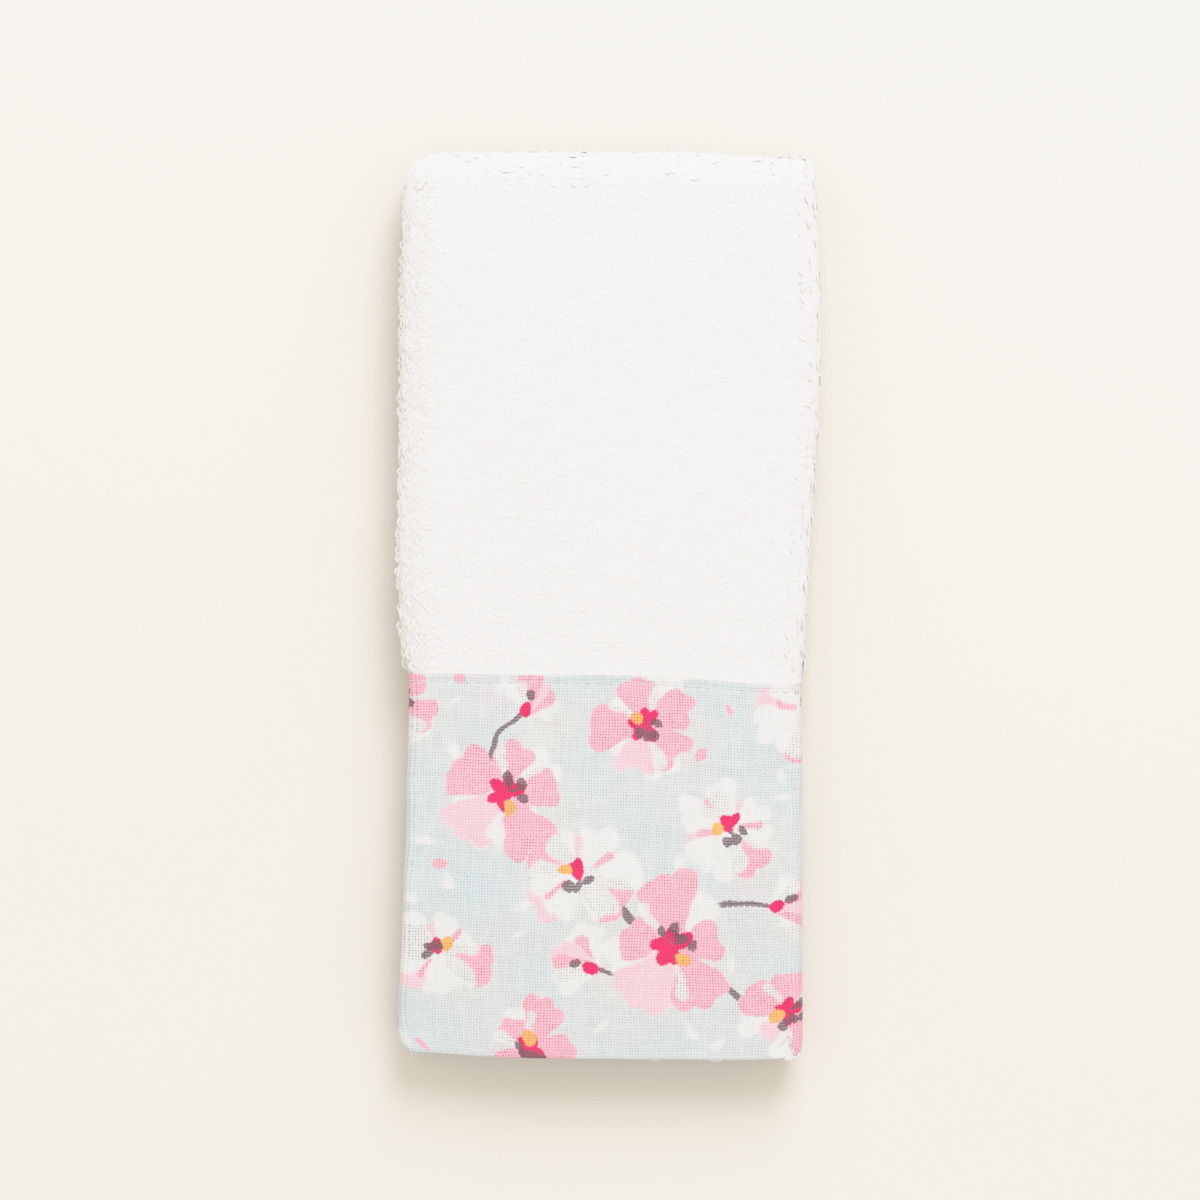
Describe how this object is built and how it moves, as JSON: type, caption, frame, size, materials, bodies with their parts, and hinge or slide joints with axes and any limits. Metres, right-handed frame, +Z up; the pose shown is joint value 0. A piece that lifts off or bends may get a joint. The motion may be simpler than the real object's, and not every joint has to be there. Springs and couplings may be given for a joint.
{
  "type": "folded hand towel",
  "caption": "White terry hand towel with a printed cotton band across one end, folded in thirds and then in half, lying flat.",
  "frame": {"origin": "middle of the bounding box's underside, on the surface that the towel lies on", "axes": "+X runs across the folded towel, +Y runs from the band's end to the half fold, +Z is up, away from the surface"},
  "size_m": [0.1158, 0.2478, 0.0191],
  "materials": {
    "terry": "matt looped cotton pile, warm white",
    "printed_cotton": "matt plain-woven cotton, pale grey blue with a blossom print in pink, cream and crimson"
  },
  "bodies": {
    "root": {"terry_towel": "terry", "print_band": "printed_cotton"}
  },
  "joints": []
}
